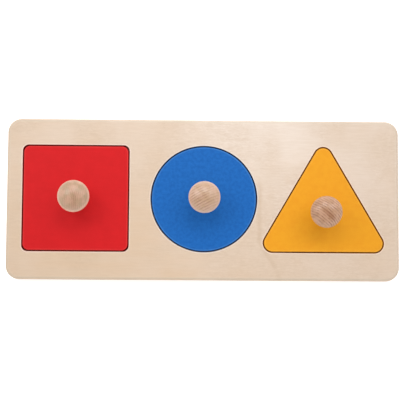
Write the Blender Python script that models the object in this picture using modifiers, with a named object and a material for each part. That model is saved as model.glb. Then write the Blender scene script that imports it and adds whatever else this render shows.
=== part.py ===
"""A flat wooden shape sorter: a plywood board with three loose shapes, each lifted by a turned knob.

Metres, +Z up. X runs along the board from the square to the triangle, and Y runs across it.
The origin is the middle of the board's underside.
"""
import math

import bmesh
import bpy
from mathutils import Matrix, Vector
from mathutils.geometry import interpolate_bezier

# The three shapes, sawn from one sheet of plywood
SQUARE_SIDE = 0.0800
CIRCLE_DIAMETER = 0.0800
TRIANGLE_WIDTH = 0.0912
TRIANGLE_HEIGHT = 0.0800
SQUARE_CORNER_RADIUS = 0.0039
TRIANGLE_CORNER_RADIUS = 0.0067
INSET_THICKNESS = 0.0087
INSET_EDGE_RADIUS = 0.0006
TRIANGLE_KNOB_RISE = 0.0296

# The board: the panel with the cut-outs, and the thin backing under it
FRAME_THICKNESS = 0.0087
BASE_THICKNESS = 0.0030
END_MARGIN = 0.0118
SQUARE_CIRCLE_BRIDGE = 0.0165
CIRCLE_TRIANGLE_BRIDGE = 0.0045
FAR_MARGIN = 0.0202
NEAR_MARGIN = 0.0214
BOARD_CORNER_RADIUS = 0.0105
BOARD_EDGE_RADIUS = 0.0012
RECESS_EDGE_RADIUS = 0.0004

# The turned knobs: the foot up to the narrowest place, from there to the widest, and the dome on top
KNOB_DIAMETER = 0.0240
KNOB_NECK_DIAMETER = 0.0112
KNOB_FOOT_DIAMETER = 0.0148
KNOB_FOOT_EDGE_RADIUS = 0.0008
KNOB_FOOT_HEIGHT = 0.0072
KNOB_FLARE_HEIGHT = 0.0108
KNOB_DOME_HEIGHT = 0.0080

# The countersunk wood screws, with lengths measured from the face of the head
SCREW_LENGTH = 0.0200
SCREW_SHANK_LENGTH = 0.0080
SCREW_POINT_LENGTH = 0.0030
SCREW_THREAD_DIAMETER = 0.0035
SCREW_THREAD_DEPTH = 0.00045
SCREW_THREAD_PITCH = 0.0013
SCREW_HEAD_DIAMETER = 0.0070
SCREW_HEAD_HEIGHT = 0.0021
SCREW_HEAD_RIM = 0.0003
CROSS_SLOT_LENGTH = 0.0036
CROSS_SLOT_WIDTH = 0.0009
CROSS_SLOT_DEPTH = 0.0013

# Fits
SIDE_CLEARANCE = 0.0007
CONTACT_GAP = 0.0003
SCREW_CLEARANCE = 0.0003
SCREW_HEAD_SINK = 0.0004
PILOT_END_CLEARANCE = 0.0010

# Shapes of curves: the drill point's slope, and how far each stretch of the knob runs upright
DRILL_POINT_ANGLE = math.radians(31)
FLARE_PULL = 0.46
FOOT_PULL = 0.40

# Smoothness
CORNER_STEPS = 8
CIRCLE_STEPS = 72
EDGE_SEGMENTS = 2
KNOB_STEPS = 36
SCREW_STEPS = 16
DOME_POINTS = 8
CURVE_POINTS = 8
FOOT_EDGE_POINTS = 3
MERGE_DISTANCE = 0.00001
SMOOTH_ANGLE = math.radians(40)

# Widths and heights that follow from the sizes above
SQUARE_RECESS = SQUARE_SIDE + 2 * SIDE_CLEARANCE
CIRCLE_RECESS = CIRCLE_DIAMETER + 2 * SIDE_CLEARANCE
TRIANGLE_RECESS = TRIANGLE_WIDTH + 2 * SIDE_CLEARANCE
ROW_LENGTH = SQUARE_RECESS + SQUARE_CIRCLE_BRIDGE + CIRCLE_RECESS + CIRCLE_TRIANGLE_BRIDGE + TRIANGLE_RECESS
ROW_DEPTH = max(SQUARE_SIDE, CIRCLE_DIAMETER, TRIANGLE_HEIGHT) + 2 * SIDE_CLEARANCE
BOARD_LENGTH = ROW_LENGTH + 2 * END_MARGIN
BOARD_DEPTH = NEAR_MARGIN + ROW_DEPTH + FAR_MARGIN

ROW_Y = -BOARD_DEPTH / 2 + NEAR_MARGIN + ROW_DEPTH / 2
SQUARE_X = -BOARD_LENGTH / 2 + END_MARGIN + SQUARE_RECESS / 2
CIRCLE_X = SQUARE_X + SQUARE_RECESS / 2 + SQUARE_CIRCLE_BRIDGE + CIRCLE_RECESS / 2
TRIANGLE_X = CIRCLE_X + CIRCLE_RECESS / 2 + CIRCLE_TRIANGLE_BRIDGE + TRIANGLE_RECESS / 2
TRIANGLE_KNOB_Y = ROW_Y - TRIANGLE_HEIGHT / 2 + TRIANGLE_KNOB_RISE

FRAME_Z = BASE_THICKNESS + CONTACT_GAP
INSET_Z = BASE_THICKNESS + CONTACT_GAP
PILOT_RADIUS = SCREW_THREAD_DIAMETER / 2 + SCREW_CLEARANCE
PILOT_DEPTH = SCREW_HEAD_SINK + SCREW_LENGTH - INSET_THICKNESS - CONTACT_GAP + PILOT_END_CLEARANCE

COLLECTION_NAME = "wooden_shape_sorter"
CUTTER_COLLECTION_NAME = "cutters"


def clear_scene():
    for existing in list(bpy.data.objects):
        bpy.data.objects.remove(existing, do_unlink=True)


def new_collection(name):
    collection = bpy.data.collections.new(name)
    bpy.context.scene.collection.children.link(collection)
    return collection


def linear_colour(red, green, blue):
    """A colour given in screen values from 0 to 255, as the linear values a shader takes."""
    channels = []
    for value in (red, green, blue):
        level = value / 255
        channels.append(level / 12.92 if level <= 0.04045 else ((level + 0.055) / 1.055) ** 2.4)
    return (*channels, 1.0)


def new_material(name, colour, roughness, metallic=0.0):
    material = bpy.data.materials.new(name)
    material.use_nodes = True
    shader = material.node_tree.nodes["Principled BSDF"]
    shader.inputs["Base Color"].default_value = colour
    shader.inputs["Roughness"].default_value = roughness
    shader.inputs["Metallic"].default_value = metallic
    return material


def rounded_outline(corners, radius):
    """The outline at a distance of radius round a convex polygon, whose corners run counter-clockwise."""
    points = []
    for index, corner in enumerate(corners):
        arriving = corner - corners[index - 1]
        leaving = corners[(index + 1) % len(corners)] - corner
        start = math.atan2(-arriving.x, arriving.y)
        sweep = (math.atan2(-leaving.x, leaving.y) - start) % (2 * math.pi)
        for step in range(CORNER_STEPS + 1):
            angle = start + sweep * step / CORNER_STEPS
            points.append(corner + radius * Vector((math.cos(angle), math.sin(angle))))
    return points


def rectangle_corners(length, depth, corner_radius, centre):
    """The arc centres of a rectangle with rounded corners."""
    half_length = length / 2 - corner_radius
    half_depth = depth / 2 - corner_radius
    signs = ((-1, -1), (1, -1), (1, 1), (-1, 1))
    return [centre + Vector((half_length * x, half_depth * y)) for x, y in signs]


def triangle_corners(centre):
    """The arc centres of the rounded triangle, whose apex points to +Y."""
    half_width = TRIANGLE_WIDTH / 2 - TRIANGLE_CORNER_RADIUS
    half_height = TRIANGLE_HEIGHT / 2 - TRIANGLE_CORNER_RADIUS
    local = ((-half_width, -half_height), (half_width, -half_height), (0, half_height))
    return [centre + Vector(point) for point in local]


def square_outline(centre, growth=0.0):
    corners = rectangle_corners(SQUARE_SIDE, SQUARE_SIDE, SQUARE_CORNER_RADIUS, centre)
    return rounded_outline(corners, SQUARE_CORNER_RADIUS + growth)


def circle_outline(centre, growth=0.0):
    radius = CIRCLE_DIAMETER / 2 + growth
    angles = [2 * math.pi * step / CIRCLE_STEPS for step in range(CIRCLE_STEPS)]
    return [centre + radius * Vector((math.cos(angle), math.sin(angle))) for angle in angles]


def triangle_outline(centre, growth=0.0):
    return rounded_outline(triangle_corners(centre), TRIANGLE_CORNER_RADIUS + growth)


def board_outline():
    corners = rectangle_corners(BOARD_LENGTH, BOARD_DEPTH, BOARD_CORNER_RADIUS, Vector((0, 0)))
    return rounded_outline(corners, BOARD_CORNER_RADIUS)


def extruded_mesh(name, outlines, thickness):
    """A flat plate as a mesh from z = 0 up, filled inside its first outline and open inside the others."""
    curve = bpy.data.curves.new(name, "CURVE")
    curve.dimensions = "2D"
    curve.fill_mode = "BOTH"
    curve.extrude = thickness / 2
    for outline in outlines:
        spline = curve.splines.new("POLY")
        spline.points.add(len(outline) - 1)
        for point, place in zip(spline.points, outline):
            point.co = (place.x, place.y, 0, 1)
        spline.use_cyclic_u = True
    drawn = bpy.data.objects.new(name + "_curve", curve)
    bpy.context.scene.collection.objects.link(drawn)
    evaluated = drawn.evaluated_get(bpy.context.evaluated_depsgraph_get())
    mesh = bpy.data.meshes.new_from_object(evaluated)
    bpy.data.objects.remove(drawn, do_unlink=True)
    mesh.transform(Matrix.Translation((0, 0, thickness / 2)))
    return mesh


def weigh_edges(mesh, outlines, radii, thickness):
    """Welds the caps on, and marks how round each outline's top and bottom edges are.

    radii holds one (top, bottom) pair for each outline. Returns the largest radius.
    """
    largest = max(max(pair) for pair in radii)
    owner = {}
    for outline, pair in zip(outlines, radii):
        for place in outline:
            owner[(round(place.x, 6), round(place.y, 6))] = pair
    work = bmesh.new()
    work.from_mesh(mesh)
    bmesh.ops.remove_doubles(work, verts=work.verts, dist=MERGE_DISTANCE)
    bmesh.ops.dissolve_limit(work, angle_limit=math.radians(1), verts=[], edges=work.edges)
    work.normal_update()
    weight = work.edges.layers.float.new("bevel_weight_edge")
    for edge in work.edges:
        first, second = edge.verts
        level = abs(first.co.z - second.co.z) < MERGE_DISTANCE
        at_side = any(abs(face.normal.z) < 0.5 for face in edge.link_faces)
        if level and at_side:
            top, bottom = owner[(round(first.co.x, 6), round(first.co.y, 6))]
            edge[weight] = (top if first.co.z > thickness / 2 else bottom) / largest
    work.to_mesh(mesh)
    work.free()
    return largest


def finish_object(piece, collection, material, parent, location):
    piece.location = location
    piece.parent = parent
    if material:
        piece.data.materials.append(material)
    piece.data.shade_smooth()
    piece.data.set_sharp_from_angle(angle=SMOOTH_ANGLE)
    collection.objects.link(piece)
    return piece


def make_plate(name, outlines, radii, thickness, collection, material, parent=None, location=(0, 0, 0)):
    """A plywood plate with its edges eased by a Bevel, from its underside up."""
    mesh = extruded_mesh(name, outlines, thickness)
    width = weigh_edges(mesh, outlines, radii, thickness)
    plate = bpy.data.objects.new(name, mesh)
    easing = plate.modifiers.new("eased_edges", "BEVEL")
    easing.limit_method = "WEIGHT"
    easing.width = width
    easing.segments = EDGE_SEGMENTS
    easing.loop_slide = False
    easing.use_clamp_overlap = False
    return finish_object(plate, collection, material, parent, location)


def profile_mesh(name, profile):
    """A turned piece's outline from its top on the axis down its outer side, as a chain of edges."""
    work = bmesh.new()
    corners = [work.verts.new((radius, 0, height)) for radius, height in profile]
    for upper, lower in zip(corners, corners[1:]):
        work.edges.new((upper, lower))
    mesh = bpy.data.meshes.new(name)
    work.to_mesh(mesh)
    work.free()
    return mesh


def add_turning(piece, steps):
    """The full turn about Z that makes a solid of a profile."""
    turning = piece.modifiers.new("turning", "SCREW")
    turning.axis = "Z"
    turning.angle = 2 * math.pi
    turning.steps = steps
    turning.render_steps = steps
    turning.use_merge_vertices = True
    turning.merge_threshold = MERGE_DISTANCE


def curve_between(upper, lower, pull):
    """A smooth stretch of a profile that leaves one point and reaches the next one upright."""
    start = Vector(upper)
    end = Vector(lower)
    drop = Vector((0, pull * (start.y - end.y)))
    points = interpolate_bezier(start, start - drop, end + drop, end, CURVE_POINTS)
    return [(point.x, point.y) for point in points[1:]]


def knob_profile():
    """The knob from the top of its dome to the end of the pilot hole in its foot."""
    radius = KNOB_DIAMETER / 2
    widest = KNOB_FOOT_HEIGHT + KNOB_FLARE_HEIGHT
    profile = []
    for step in range(DOME_POINTS + 1):
        angle = math.pi / 2 * step / DOME_POINTS
        profile.append((radius * math.sin(angle), widest + KNOB_DOME_HEIGHT * math.cos(angle)))
    neck = (KNOB_NECK_DIAMETER / 2, KNOB_FOOT_HEIGHT)
    foot = (KNOB_FOOT_DIAMETER / 2, KNOB_FOOT_EDGE_RADIUS)
    profile += curve_between(profile[-1], neck, FLARE_PULL)
    profile += curve_between(neck, foot, FOOT_PULL)
    for step in range(1, FOOT_EDGE_POINTS + 1):
        angle = math.pi / 2 * step / FOOT_EDGE_POINTS
        across = KNOB_FOOT_EDGE_RADIUS * (1 - math.cos(angle))
        down = KNOB_FOOT_EDGE_RADIUS * math.sin(angle)
        profile.append((foot[0] - across, foot[1] - down))
    drill_point = PILOT_RADIUS * math.tan(DRILL_POINT_ANGLE)
    profile += [(PILOT_RADIUS, 0), (PILOT_RADIUS, PILOT_DEPTH), (0, PILOT_DEPTH + drill_point)]
    return profile


def screw_profile():
    """The screw from its point down to the face of its head."""
    crest = SCREW_THREAD_DIAMETER / 2
    core = crest - SCREW_THREAD_DEPTH
    head = SCREW_HEAD_DIAMETER / 2
    thread_top = SCREW_LENGTH - SCREW_POINT_LENGTH
    turns = int((thread_top - SCREW_SHANK_LENGTH) / SCREW_THREAD_PITCH)
    profile = [(0, SCREW_LENGTH), (core, thread_top)]
    for turn in range(turns):
        ridge = thread_top - (turn + 0.5) * SCREW_THREAD_PITCH
        profile += [(crest, ridge), (core, ridge - SCREW_THREAD_PITCH / 2)]
    profile += [(core, SCREW_SHANK_LENGTH), (crest, SCREW_SHANK_LENGTH - SCREW_THREAD_DEPTH)]
    profile += [(crest, SCREW_HEAD_HEIGHT), (head, SCREW_HEAD_RIM), (head, 0), (0, 0)]
    return profile


def screw_hole_profile():
    """The hole through a shape: clear of the thread, widened for the sunk head, open at both faces."""
    beyond = SCREW_HEAD_SINK + SCREW_CLEARANCE
    hole = SCREW_THREAD_DIAMETER / 2 + SCREW_CLEARANCE
    mouth = SCREW_HEAD_DIAMETER / 2 + SCREW_CLEARANCE
    over = INSET_THICKNESS + beyond
    cone_top = SCREW_HEAD_SINK + SCREW_HEAD_HEIGHT
    cone_bottom = SCREW_HEAD_SINK + SCREW_HEAD_RIM
    return [(0, over), (hole, over), (hole, cone_top), (mouth, cone_bottom), (mouth, -beyond), (0, -beyond)]


def make_cutter(name, mesh, collection, parent=None, location=(0, 0, 0), turn=0.0):
    cutter = bpy.data.objects.new(name, mesh)
    cutter.location = location
    cutter.rotation_euler.z = turn
    cutter.parent = parent
    cutter.hide_render = True
    cutter.display_type = "WIRE"
    collection.objects.link(cutter)
    return cutter


def cut_with(piece, cutter):
    cut = piece.modifiers.new("cut_" + cutter.name, "BOOLEAN")
    cut.operation = "DIFFERENCE"
    cut.solver = "EXACT"
    cut.object = cutter


def slot_mesh():
    """One bar of the screw's cross slot, as deep below the head's face as it stands above it."""
    work = bmesh.new()
    bmesh.ops.create_cube(work, size=1.0)
    size = Vector((CROSS_SLOT_LENGTH, CROSS_SLOT_WIDTH, 2 * CROSS_SLOT_DEPTH))
    bmesh.ops.scale(work, vec=size, verts=work.verts)
    mesh = bpy.data.meshes.new("cross_slot_bar")
    work.to_mesh(mesh)
    work.free()
    return mesh


def make_screw(name, parts, cutters, material, parent, slot):
    """A countersunk wood screw with its point up and a cross slot in the face of its head."""
    screw = bpy.data.objects.new(name, profile_mesh(name, screw_profile()))
    add_turning(screw, SCREW_STEPS)
    place = (0, 0, SCREW_HEAD_SINK)
    for number, turn in enumerate((0.0, math.pi / 2)):
        cut_with(screw, make_cutter(f"{name}_slot_{number}", slot, cutters, parent, place, turn))
    return finish_object(screw, parts, material, parent, place)


def make_knob(name, parts, material, parent):
    knob = bpy.data.objects.new(name, profile_mesh(name, knob_profile()))
    add_turning(knob, KNOB_STEPS)
    return finish_object(knob, parts, material, parent, (0, 0, INSET_THICKNESS + CONTACT_GAP))


def make_piece(shape, outline, axis, parts, cutters, materials):
    """One loose piece: its shape, its knob and the screw between them, on an empty at its knob's axis."""
    empty = bpy.data.objects.new(shape + "_piece", None)
    empty.location = (axis.x, axis.y, INSET_Z)
    parts.objects.link(empty)
    radii = [(INSET_EDGE_RADIUS, INSET_EDGE_RADIUS)]
    name = shape + "_inset"
    inset = make_plate(name, [outline], radii, INSET_THICKNESS, parts, materials[shape], empty)
    hole = make_cutter(shape + "_screw_hole", profile_mesh(shape + "_hole", screw_hole_profile()), cutters, empty)
    add_turning(hole, SCREW_STEPS)
    cut_with(inset, hole)
    make_knob(shape + "_knob", parts, materials["knob"], empty)
    make_screw(shape + "_knob_screw", parts, cutters, materials["screw"], empty, slot_mesh())


def make_board(parts, materials):
    """The backing and the panel, with the panel's three cut-outs a clearance larger than their shapes."""
    outline = board_outline()
    recesses = [
        square_outline(Vector((SQUARE_X, ROW_Y)), SIDE_CLEARANCE),
        circle_outline(Vector((CIRCLE_X, ROW_Y)), SIDE_CLEARANCE),
        triangle_outline(Vector((TRIANGLE_X, ROW_Y)), SIDE_CLEARANCE),
    ]
    base_radii = [(0.0, BOARD_EDGE_RADIUS)]
    make_plate("board_base", [outline], base_radii, BASE_THICKNESS, parts, materials["board"])
    frame_radii = [(BOARD_EDGE_RADIUS, 0.0)] + [(RECESS_EDGE_RADIUS, 0.0)] * len(recesses)
    outlines = [outline] + recesses
    place = (0, 0, FRAME_Z)
    make_plate("board_frame", outlines, frame_radii, FRAME_THICKNESS, parts, materials["board"], None, place)


def make_materials():
    return {
        "board": new_material("birch_plywood", linear_colour(232, 212, 192), 0.62),
        "square": new_material("red_paint", linear_colour(214, 38, 40), 0.50),
        "circle": new_material("blue_paint", linear_colour(39, 107, 187), 0.50),
        "triangle": new_material("yellow_paint", linear_colour(240, 163, 44), 0.50),
        "knob": new_material("turned_beech", linear_colour(202, 167, 140), 0.48),
        "screw": new_material("zinc_plated_steel", linear_colour(190, 192, 196), 0.32, 1.0),
    }


def main():
    clear_scene()
    parts = new_collection(COLLECTION_NAME)
    cutters = new_collection(CUTTER_COLLECTION_NAME)
    materials = make_materials()
    make_board(parts, materials)
    origin = Vector((0, 0))
    make_piece("square", square_outline(origin), Vector((SQUARE_X, ROW_Y)), parts, cutters, materials)
    make_piece("circle", circle_outline(origin), Vector((CIRCLE_X, ROW_Y)), parts, cutters, materials)
    triangle_axis = Vector((TRIANGLE_X, TRIANGLE_KNOB_Y))
    triangle_centre = Vector((0, ROW_Y - TRIANGLE_KNOB_Y))
    make_piece("triangle", triangle_outline(triangle_centre), triangle_axis, parts, cutters, materials)


main()
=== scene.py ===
# %% [markdown]
# # A wooden shape sorter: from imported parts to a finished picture
#
# The real toy is a flat plywood board, 300 mm long, with three cut-outs in a row. Each holds one
# loose shape that a small child lifts by a turned beech knob: a red square, a blue circle and a
# yellow triangle. The parts have already been drawn as solids and packed with their joints. This
# lesson dresses them: it makes finer meshes on the same places, gives each one its wood, paint or
# metal, and lights them. Everything is in metres, with the middle of the board's underside at zero.

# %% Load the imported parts
import math
import bmesh
import bpy
from mathutils import Euler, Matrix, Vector
from mathutils.geometry import delaunay_2d_cdt, interpolate_bezier


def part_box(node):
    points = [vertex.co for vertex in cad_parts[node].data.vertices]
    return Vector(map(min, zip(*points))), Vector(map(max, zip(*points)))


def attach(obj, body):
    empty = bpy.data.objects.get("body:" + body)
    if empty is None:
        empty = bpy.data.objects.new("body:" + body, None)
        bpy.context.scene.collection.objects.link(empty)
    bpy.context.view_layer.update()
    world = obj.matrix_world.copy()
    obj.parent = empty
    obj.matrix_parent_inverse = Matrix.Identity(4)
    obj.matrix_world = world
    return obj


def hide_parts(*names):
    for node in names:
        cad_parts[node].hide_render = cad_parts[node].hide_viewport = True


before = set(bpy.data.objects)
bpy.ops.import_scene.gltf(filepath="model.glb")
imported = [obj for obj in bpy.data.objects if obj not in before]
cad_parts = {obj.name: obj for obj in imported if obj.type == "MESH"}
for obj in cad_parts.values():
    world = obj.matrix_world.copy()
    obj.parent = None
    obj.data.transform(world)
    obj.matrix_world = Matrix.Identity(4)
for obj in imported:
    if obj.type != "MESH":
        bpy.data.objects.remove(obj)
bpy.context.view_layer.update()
print("nodes:", ", ".join(sorted(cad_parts)))

# %% [markdown]
# ## The camera
#
# The photograph looks almost straight down, from a little in front of the board and a little to the
# left of its middle. The board's straight edges run very slightly together, so the camera stands
# only about 0.8 m up, with a long lens. Its place and tilt were found by laying the board's known
# corners over the picture, which is more exact than turning the view by eye.

# %% Place the camera
CAMERA_PLACE = (-0.01751, -0.06338, 0.81768)
CAMERA_TILT = (4.4754, -1.0890, 0.3639)
CAMERA_LENS = 95.14
SENSOR_WIDTH = 36.0

camera_data = bpy.data.cameras.new("photo_camera")
camera_data.sensor_width = SENSOR_WIDTH
camera_data.lens = CAMERA_LENS
camera = bpy.data.objects.new("photo_camera", camera_data)
camera.location = CAMERA_PLACE
camera.rotation_euler = Euler([math.radians(angle) for angle in CAMERA_TILT])
bpy.context.scene.collection.objects.link(camera)
bpy.context.scene.camera = camera
print("camera height in mm:", round(1000 * CAMERA_PLACE[2]))

# %% [markdown]
# ## Helpers for materials and light
#
# A material is a small machine of nodes, and so is a sky. A few short helpers keep the recipes
# readable: one adds a node and fills or links its sockets by name, some do sums, and some mix
# colours. Colours are written as a painter's chart gives them, from 0 to 255, and turned into the
# light values that the renderer works with.

# %% Helpers that add nodes
def colour(red, green, blue):
    """A chart colour from 0 to 255, turned into light values."""
    parts = [value / 255 for value in (red, green, blue)]
    light = [part / 12.92 if part <= 0.04045 else ((part + 0.055) / 1.055) ** 2.4 for part in parts]
    return (*light, 1.0)


def grey(level):
    """A neutral colour, as a light value."""
    return (level, level, level, 1.0)


def link(source, target):
    """Joins two sockets of one tree."""
    source.id_data.links.new(source, target)


def add_node(kind, sockets=None, tree=None, **settings):
    """Adds one shader node, sets its properties, then links or fills its sockets by name or number.
    The tree has to be named only where no socket is linked."""
    sockets = sockets or {}
    linked = [name for name, value in sockets.items() if isinstance(value, bpy.types.NodeSocket)]
    tree = tree or sockets[linked[0]].id_data
    node = tree.nodes.new("ShaderNode" + kind)
    for name, value in settings.items():
        setattr(node, name, value)
    for name, value in sockets.items():
        if name in linked:
            link(value, node.inputs[name])
        else:
            node.inputs[name].default_value = value
    return node


def sums(operation, first, second=0.0, third=0.0):
    """One step of arithmetic."""
    return add_node("Math", {0: first, 1: second, 2: third}, operation=operation).outputs[0]


def times(first, second):
    """The product of two values."""
    return sums("MULTIPLY", first, second)


def vectors(operation, first, second=(0.0, 0.0, 0.0)):
    """One step of arithmetic with vectors, which gives a number where the step is a measurement."""
    node = add_node("VectorMath", {0: first, 1: second}, operation=operation)
    return node.outputs["Value" if operation in ("LENGTH", "DISTANCE", "DOT_PRODUCT") else "Vector"]


def between(value, low, high, start=0.0, end=1.0):
    """Stretches a range of values to another range, with soft ends."""
    sockets = {"Value": value, "From Min": low, "From Max": high, "To Min": start, "To Max": end}
    return add_node("MapRange", sockets, interpolation_type="SMOOTHSTEP").outputs["Result"]


def noise(place, scale, detail=2.0, roughness=0.5, wander=0.0):
    """Soft random patches, as a value from 0 to 1."""
    sockets = {"Vector": place, "Scale": scale, "Detail": detail, "Roughness": roughness}
    sockets["Distortion"] = wander
    return add_node("TexNoise", sockets).outputs[0]


def blend_colours(factor, first, second):
    """Mixes two colours."""
    return add_node("Mix", {0: factor, 6: first, 7: second}, data_type="RGBA").outputs[2]


def layered(tint, coats):
    """Lays one colour after another over the first one, each by its own share."""
    for share, coat in coats:
        tint = blend_colours(share, tint, coat)
    return tint


def new_group(name, inputs, outputs):
    """An empty node group with named sockets. Each input has its usual value beside it."""
    tree = bpy.data.node_groups.new(name, "ShaderNodeTree")
    for label, value in inputs.items():
        kind = "NodeSocketVector" if isinstance(value, tuple) else "NodeSocketFloat"
        socket = tree.interface.new_socket(label, in_out="INPUT", socket_type=kind)
        socket.default_value = value
    for label in outputs:
        tree.interface.new_socket(label, in_out="OUTPUT", socket_type="NodeSocketFloat")
    return tree, tree.nodes.new("NodeGroupInput").outputs, tree.nodes.new("NodeGroupOutput").inputs


def use_group(group, sockets):
    """Places a node group in a material with its own values."""
    return add_node("Group", sockets, node_tree=group).outputs


# %% [markdown]
# ## The light
#
# The shadows in the photograph are faint and soft, and lean away from the two upper corners of the
# picture: the square's knob throws its shadow down and to the right, the triangle's down and to the
# left. So three soft lamps stand behind the board, one on each side and one in the middle, near
# enough for the board to be a little brighter at its far edge. The rest comes from a sky like a
# photographer's tent: a little dimmer at the horizon, brightest halfway up, and dim overhead, where
# the camera hangs. The dim part leans to the front, where the photographer stands. So satin paint
# keeps its full colour when seen from above, while the rims of the knobs, which turn towards the
# bright walls, shine. Some light also comes from below, for a look at the underside. The Standard
# view shows colours as they are.

# %% Place the lamps
SOFTBOX_WIDTH = 0.26
SOFTBOX_SPREAD = 60.0
SOFTBOXES = (
    ("left_softbox", (-0.36, 0.20, 0.44), (-0.10, 0.01, 0.0), 0.089),
    ("right_softbox", (0.32, 0.24, 0.44), (0.10, 0.01, 0.0), 0.073),
    ("back_softbox", (0.0, 0.34, 0.46), (0.0, 0.01, 0.0), 0.086),
)


def add_softbox(name, place, aim, power):
    """A square lamp that faces a point. A grid in front of it keeps its light on its own shape."""
    lamp_data = bpy.data.lights.new(name, "AREA")
    lamp_data.shape = "SQUARE"
    lamp_data.size = SOFTBOX_WIDTH
    lamp_data.spread = math.radians(SOFTBOX_SPREAD)
    lamp_data.energy = power
    lamp = bpy.data.objects.new(name, lamp_data)
    lamp.location = place
    lamp.rotation_euler = (Vector(aim) - Vector(place)).to_track_quat("-Z", "Y").to_euler()
    bpy.context.scene.collection.objects.link(lamp)


for softbox in SOFTBOXES:
    add_softbox(*softbox)
print("lamps:", ", ".join(softbox[0] for softbox in SOFTBOXES))

# %% Hang the sky
SKY_AT_HORIZON = 0.66
SKY_HALFWAY = 1.27
SKY_OVERHEAD = 0.49
SKY_BELOW = 0.40
SKY_LEAN = 0.22
# Between its first two numbers, which are heights, each fade goes from its third to its fourth
SKY_FADES = (
    (0.0, 0.40, SKY_AT_HORIZON, SKY_HALFWAY),
    (0.45, 0.85, 1.0, SKY_OVERHEAD / SKY_HALFWAY),
    (-0.10, -0.05, SKY_BELOW, 0.0),
)

sky = bpy.data.worlds.new("tent_sky")
sky.use_nodes = True
sky_surface = sky.node_tree.nodes["Background"]
sky_surface.inputs["Color"].default_value = grey(1.0)
sky_direction = add_node("TexCoord", tree=sky.node_tree).outputs["Generated"]
sky_height = vectors("DOT_PRODUCT", sky_direction, (0.0, -SKY_LEAN, 1.0))
sky_strength = sums("MULTIPLY_ADD", *[between(sky_height, *fade) for fade in SKY_FADES])
link(sky_strength, sky_surface.inputs["Strength"])
bpy.context.scene.world = sky
bpy.context.scene.view_settings.view_transform = "Standard"
print("sky levels:", SKY_AT_HORIZON, SKY_HALFWAY, SKY_OVERHEAD)

# %% [markdown]
# ## Outlines
#
# Every flat part of this toy is a shape with round corners, cut out by a machine. Such an outline is
# the line at one distance round a few corner points. That gives a useful trick: when the distance
# changes, the outline grows or shrinks evenly and keeps its number of points. So the rounding over
# an edge, and the play round a shape in its cut-out, are the same outline again, a little larger or
# smaller, and the rings join up point for point.

# %% Outlines that can grow
CORNER_STEPS = 14
CIRCLE_STEPS = 168
STRAIGHT_STEP = 0.0060


def rounded_outline(corners, radius):
    """A function that gives the outline round these corner points, grown by a length."""
    def grown(growth):
        points = []
        for index, corner in enumerate(corners):
            arriving = corner - corners[index - 1]
            leaving = corners[(index + 1) % len(corners)] - corner
            start = math.atan2(-arriving.x, arriving.y)
            sweep = (math.atan2(-leaving.x, leaving.y) - start) % math.tau
            for step in range(CORNER_STEPS + 1):
                angle = start + sweep * step / CORNER_STEPS
                points.append(corner + (radius + growth) * Vector((math.cos(angle), math.sin(angle))))
            corner_end = points[-1]
            steps = round(leaving.length / STRAIGHT_STEP)
            points += [corner_end + leaving * step / steps for step in range(1, steps)]
        return points
    return grown


def round_outline(centre, radius, steps=CIRCLE_STEPS):
    """The same for a circle."""
    def grown(growth):
        angles = [math.tau * step / steps for step in range(steps)]
        return [centre + (radius + growth) * Vector((math.cos(a), math.sin(a))) for a in angles]
    return grown


def rectangle_corners(low, high, radius):
    """The four corner points of a rectangle that is rounded by this radius."""
    left, near = low.x + radius, low.y + radius
    right, far = high.x - radius, high.y - radius
    return [Vector((left, near)), Vector((right, near)), Vector((right, far)), Vector((left, far))]


def triangle_corners(low, high, radius):
    """The same for a triangle with its point at the far side."""
    left, near = low.x + radius, low.y + radius
    right, far = high.x - radius, high.y - radius
    return [Vector((left, near)), Vector((right, near)), Vector(((left + right) / 2, far))]


# %% The outlines of this toy
BOARD_CORNER = 0.0105
SQUARE_CORNER = 0.0048
SQUARE_CUTOUT_CORNER = 0.0039
TRIANGLE_CORNER = 0.0067
SIDE_PLAY = 0.0007

board_low, board_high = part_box("board_frame")
board_outline = rounded_outline(rectangle_corners(board_low, board_high, BOARD_CORNER), BOARD_CORNER)

square_low, square_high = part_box("square_inset")
square_outline = rounded_outline(rectangle_corners(square_low, square_high, SQUARE_CORNER), SQUARE_CORNER)
square_cutout = rounded_outline(
    rectangle_corners(square_low, square_high, SQUARE_CUTOUT_CORNER), SQUARE_CUTOUT_CORNER)

circle_low, circle_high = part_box("circle_inset")
circle_middle = ((circle_low + circle_high) / 2).xy
circle_outline = round_outline(circle_middle, (circle_high.x - circle_low.x) / 2)

triangle_low, triangle_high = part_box("triangle_inset")
triangle_outline = rounded_outline(
    triangle_corners(triangle_low, triangle_high, TRIANGLE_CORNER), TRIANGLE_CORNER)
print("points in the square's outline:", len(square_outline(0.0)))

# %% [markdown]
# ## The floor
#
# The toy lies on plain white. The floor is a ring: it starts under the board's edge, where nobody
# sees it from above, and the same trick of the growing outline takes it four metres out. It shows on
# its upper side only. So a view from below isn't blocked by it, and light from below reaches the
# board's underside.

# %% Lay the floor
FLOOR_WINDOW = 0.0022
FLOOR_REACH = 4.0
FLOOR_LEVEL = -0.0001

floor_rings = [board_outline(-FLOOR_WINDOW), board_outline(FLOOR_REACH)]
ring_size = len(floor_rings[0])
floor_points = [(point.x, point.y, FLOOR_LEVEL) for ring in floor_rings for point in ring]
floor_faces = []
for index in range(ring_size):
    after = (index + 1) % ring_size
    floor_faces.append((after, index, ring_size + index, ring_size + after))
floor_mesh = bpy.data.meshes.new("floor")
floor_mesh.from_pydata(floor_points, [], floor_faces)
floor = bpy.data.objects.new("floor", floor_mesh)
bpy.context.scene.collection.objects.link(floor)
print("floor faces:", len(floor_faces))

# %% Give the floor a white that shows on one side
FLOOR_GLOW = 0.48

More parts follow.
